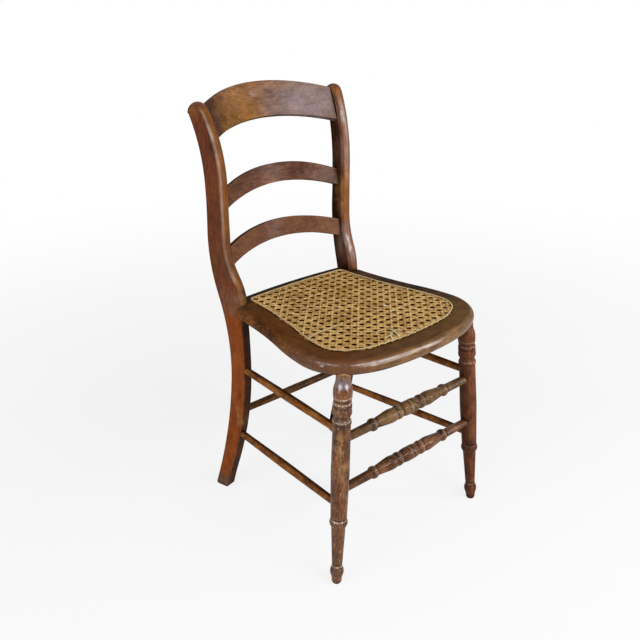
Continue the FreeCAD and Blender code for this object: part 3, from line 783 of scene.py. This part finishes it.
def makeBinder():
    # a flat cane, and a tie over it at each hole
    bm = bmesh.new()
    bm.from_mesh(nodes["cane_binder"].data)
    bmesh.ops.remove_doubles(bm, verts=bm.verts, dist=merging)
    top = max(vert.co.z for vert in bm.verts)
    others = [face for face in bm.faces if face.calc_center_median().z < top - flush]
    bmesh.ops.delete(bm, geom=others, context="FACES")
    rims = bmesh.ops.inset_region(bm, faces=bm.faces[:], thickness=binder["inset"], use_boundary=True,
                                  use_even_offset=True)
    bmesh.ops.delete(bm, geom=rims["faces"], context="FACES")
    bmesh.ops.recalc_face_normals(bm, faces=bm.faces)
    bmesh.ops.solidify(bm, geom=bm.faces[:], thickness=binder["thickness"])
    bmesh.ops.recalc_face_normals(bm, faces=bm.faces)
    corners = [edge for edge in bm.edges if edge.is_manifold and edge.calc_face_angle() > 1]
    bmesh.ops.bevel(bm, geom=corners, offset=binder["round"], offset_type="OFFSET", segments=2, profile=0.5,
                    affect="EDGES", material=-1)
    layer = bm.verts.layers.float.new("tone")
    chance = random.Random(binder["seed"])
    outer = binderLoop()
    walked = 0
    for first, second in zip(outer, outer[1:]):
        run = second - first
        while walked < run.length:
            way = run.normalized()
            side = Vector((-way.y, way.x))
            if (first + side * 0.001).length > first.length:
                side = -side
            middle = first + way * walked + side * binder["tiePlace"]
            grid = bmesh.ops.create_grid(bm, x_segments=1, y_segments=8, size=0.5)
            for vert in grid["verts"]:
                along = way * (vert.co.x * binder["tieWidth"])
                swing = vert.co.y * 2
                drop = binder["thickness"] * swing ** 4
                spot = middle + along + side * (swing * binder["tieReach"])
                vert.co = (spot.x, spot.y, top + binder["tieRise"] - drop)
                vert[layer] = 0.9 * chance.random()
            walked += cane["pitch"]
        walked -= run.length
    return newPiece("binder_cane", bm)


# strands of the panel that have come up
loose = {
    "width": 0.0026,
    "thickness": 0.0004,
    "lift": 0.0012,             # of the ends over the middle of the weave
    "rise": 0.0022,             # of the middle of each over its ends
    "wander": 0.0012,           # sideways, and how often
    "waves": 7,
    "runs": [((-0.1565, -0.0985), (-0.0685, -0.0932)), ((-0.0540, -0.1655), (-0.0310, -0.1635)),
             ((-0.0218, -0.1700), (-0.0319, -0.2020)), ((-0.0500, -0.2030), (-0.0300, -0.1743)),
             ((-0.0600, -0.1930), (-0.0330, -0.1880)), ((-0.0100, -0.1900), (-0.0230, -0.1780))],
    "tones": [(0.6, 0.45, 0.23), (0.76, 0.62, 0.38), (0.86, 0.77, 0.56)],
    # share of the grime and painted shade
    "dirtAndShadeShare": 0.2,
}


def looseStrands():
    bm = bmesh.new()
    for first, last in loose["runs"]:
        start, end = Vector(first), Vector(last)
        way = (end - start).normalized()
        grid = bmesh.ops.create_grid(bm, x_segments=24, y_segments=1, size=0.5)
        for vert in grid["verts"]:
            share = vert.co.x + 0.5
            spot = start.lerp(end, share) + Vector((-way.y, way.x)) * (vert.co.y * loose["width"])
            spot.y += loose["wander"] * math.sin(share * loose["waves"])
            rise = loose["lift"] + loose["rise"] * math.sin(share * math.pi)
            vert.co = (spot.x, spot.y, cane["middle"] + rise)
    bmesh.ops.solidify(bm, geom=bm.faces[:], thickness=loose["thickness"])
    bmesh.ops.recalc_face_normals(bm, faces=bm.faces)
    return newPiece("loose_strands", bm)


def caneFinish(name, look):
    material, paint = newPaint(name)
    place = objectPlace(paint)
    tone = paint.node("ShaderNodeAttribute", {"attribute_name": "tone"}, out="Fac")
    broad = noise(paint, place, 14, 3, 0.6)
    spots = noise(paint, place, 160, 4, 0.6)
    shade = step(paint, tone * 0.35 + broad * 0.45 + spots * 0.35, 0.25, 0.85)
    colour = toned(paint, shade, look["tones"])
    for mark in cane["marks"]:
        area = patch(paint, place, mark["centre"], mark["radius"])
        colour = tinted(paint, area, colour, cane["markColour"])
    # grime and painted shade in the crevices of the weave and along its edges
    dirtAndShade = 1.0 - step(paint, openness(paint, 0.006), 0.2, 0.9)
    colour = tinted(paint, dirtAndShade * look["dirtAndShadeShare"], colour, cane["dirtAndShade"])
    bump = paint.node("ShaderNodeBump", {}, {"Height": spots, "Strength": 0.3, "Distance": 0.0002})
    shader = paint.node("ShaderNodeBsdfPrincipled", {}, {
        "Base Color": colour, "Roughness": 0.42 + spots * 0.15, "Normal": bump, "Specular IOR Level": 0.15})
    finishWith(paint, shader)
    return material


strands = weaveCane()
strands.data.materials.append(caneFinish("cane", cane))
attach(strands, "root")
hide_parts("cane_weave")

edging = makeBinder()
edging.data.materials.append(caneFinish("binder", binder))
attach(edging, "root")
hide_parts("cane_binder")

stray = looseStrands()
stray.data.materials.append(caneFinish("stray", loose))
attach(stray, "root")
print("cane woven,", len(strands.data.polygons), "faces")

# a dark cloth sheet under the seat, for the painted shade seen through the holes of the cane
lining = {
    "thickness": 0.0008,
    "sag": 0.003,
    "cuts": 14,                 # strips each way
    "red": (0.085, 0.022, 0.01),
    "black": (0.011, 0.008, 0.008),
}


def makeShadeSheet():
    # the upper side of the CAD sheet, cut into a grid and let down a little in its middle
    bm = bmesh.new()
    bm.from_mesh(nodes["seat_lining"].data)
    bmesh.ops.remove_doubles(bm, verts=bm.verts, dist=merging)
    low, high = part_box("seat_lining")
    others = [face for face in bm.faces if face.calc_center_median().z < high[2] - flush]
    bmesh.ops.delete(bm, geom=others, context="FACES")
    bmesh.ops.dissolve_faces(bm, faces=bm.faces[:])
    for axis in (0, 1):
        for cut in range(1, lining["cuts"]):
            point = Vector((0, 0, high[2]))
            point[axis] = low[axis] + (high[axis] - low[axis]) * cut / lining["cuts"]
            whole = bm.verts[:] + bm.edges[:] + bm.faces[:]
            bmesh.ops.bisect_plane(bm, geom=whole, plane_co=point, plane_no=Vector((1 - axis, axis, 0)))
    area = sum(face.calc_area() for face in bm.faces)
    middle = (Vector(low) + Vector(high)) / 2
    half = (Vector(high) - Vector(low)) / 2
    for vert in bm.verts:
        if not vert.is_boundary:
            hollow = [1 - ((vert.co[axis] - middle[axis]) / half[axis]) ** 2 for axis in (0, 1)]
            vert.co.z -= lining["sag"] * max(0, hollow[0] * hollow[1])
    bmesh.ops.recalc_face_normals(bm, faces=bm.faces)
    bmesh.ops.solidify(bm, geom=bm.faces[:], thickness=lining["thickness"])
    bmesh.ops.recalc_face_normals(bm, faces=bm.faces)
    return newPiece("shade_sheet_cloth", bm), (high[0] - low[0], high[1] - low[1]), area


def shadeSheetFinish():
    material, paint = newPaint("lining")
    place = objectPlace(paint)
    cloth = noise(paint, place, 900, 2)
    # dark red and near-black: the painted shade that shows through the cane
    colour = tinted(paint, noise(paint, place, 12), lining["red"], lining["black"])
    bump = paint.node("ShaderNodeBump", {}, {"Height": cloth, "Strength": 0.4, "Distance": 0.0003})
    shader = paint.node("ShaderNodeBsdfPrincipled", {}, {
        "Base Color": colour, "Roughness": 0.85 + cloth * 0.1, "Normal": bump, "Specular IOR Level": 0.2})
    finishWith(paint, shader)
    return material


under, liningSize, liningArea = makeShadeSheet()
under.data.materials.append(shadeSheetFinish())
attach(under, "root")
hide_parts("seat_lining")
print("lining cut")

# the studio
studio = {
    "floorRadius": 14,
    "floorDrop": 0.0002,
    "floorColour": (0.86, 0.86, 0.86),
    "floorWhite": 0.8,          # share of plain white round the chair
    "whiteFrom": 0.5,           # it grows to 1 from this far out
    "whiteTo": 2.5,             # to this far
    "sky": 0.24,                # strength of the light from all round
}
lamps = {
    "window": {"place": (0.06, -2.25, 1.85), "aim": (0, -0.2, 0.44), "size": (2.2, 0.5), "power": 43,
               "colour": (0.96, 0.98, 1.0)},
    "pane": {"place": (0.0, -2.5, 0.7), "aim": (0, 0, 0.7), "size": (0.25, 1.3), "power": 10,
             "colour": (0.95, 0.975, 1.0)},
    "far": {"place": (1.65, -1.85, 0.95), "aim": (0, 0, 0.6), "size": (0.3, 1.4), "power": 14,
            "colour": (0.96, 0.98, 1.0)},
    "side": {"place": (-2.6, -0.35, 0.7), "aim": (0, 0, 0.7), "size": (0.25, 1.3), "power": 13,
             "colour": (1.0, 0.99, 0.97)},
    "sideHigh": {"place": (-1.95, -0.4, 1.95), "aim": (0, -0.1, 0.44), "size": (1.7, 0.3), "power": 17,
                 "colour": (1.0, 0.99, 0.97)},
}


def rayWhite(paint):
    # 1 for what the camera sees directly, in gloss or through glass
    seen = [paint.node("ShaderNodeLightPath", out=name)
            for name in ("Is Camera Ray", "Is Glossy Ray", "Is Transmission Ray")]
    return paint.maths("ADD", seen[0] + seen[1], seen[2], clamp=True)


def makeFloor():
    bm = bmesh.new()
    bmesh.ops.create_circle(bm, cap_ends=True, segments=96, radius=studio["floorRadius"])
    floor = newPiece("floor", bm)
    floor.location.z = -studio["floorDrop"]
    material, paint = newPaint("floor")
    distance = paint.vector("LENGTH", objectPlace(paint), out="Value")
    matte = paint.node("ShaderNodeBsdfDiffuse", {}, {"Color": studio["floorColour"]})
    white = paint.node("ShaderNodeEmission", {}, {"Color": (1, 1, 1), "Strength": 1.0})
    away = step(paint, distance, studio["whiteFrom"], studio["whiteTo"])
    share = rayWhite(paint) * (studio["floorWhite"] + away * (1 - studio["floorWhite"]))
    finishWith(paint, paint.node("ShaderNodeMixShader", {}, {0: share, 1: matte, 2: white}))
    floor.data.materials.append(material)
    return floor


def addLamp(name, lamp):
    light = bpy.data.lights.new(name, "AREA")
    light.shape = "RECTANGLE"
    light.size, light.size_y = lamp["size"]
    light.energy = lamp["power"]
    light.color = lamp["colour"]
    holder = bpy.data.objects.new(name, light)
    holder.location = lamp["place"]
    aim = Vector(lamp["aim"]) - Vector(lamp["place"])
    holder.rotation_euler = aim.to_track_quat("-Z", "Y").to_euler()
    bpy.context.scene.collection.objects.link(holder)


def paintSky():
    world = bpy.data.worlds.new("studio")
    world.use_nodes = True
    world.node_tree.nodes.clear()
    air = Signal(world.node_tree)
    strength = studio["sky"] + rayWhite(air) * (1 - studio["sky"])
    light = air.node("ShaderNodeBackground", {}, {"Color": (1, 1, 1), "Strength": strength})
    finishWith(air, light, "ShaderNodeOutputWorld")
    bpy.context.scene.world = world


makeFloor()
paintSky()
for lampName, lamp in lamps.items():
    addLamp(lampName, lamp)
print("studio lit")
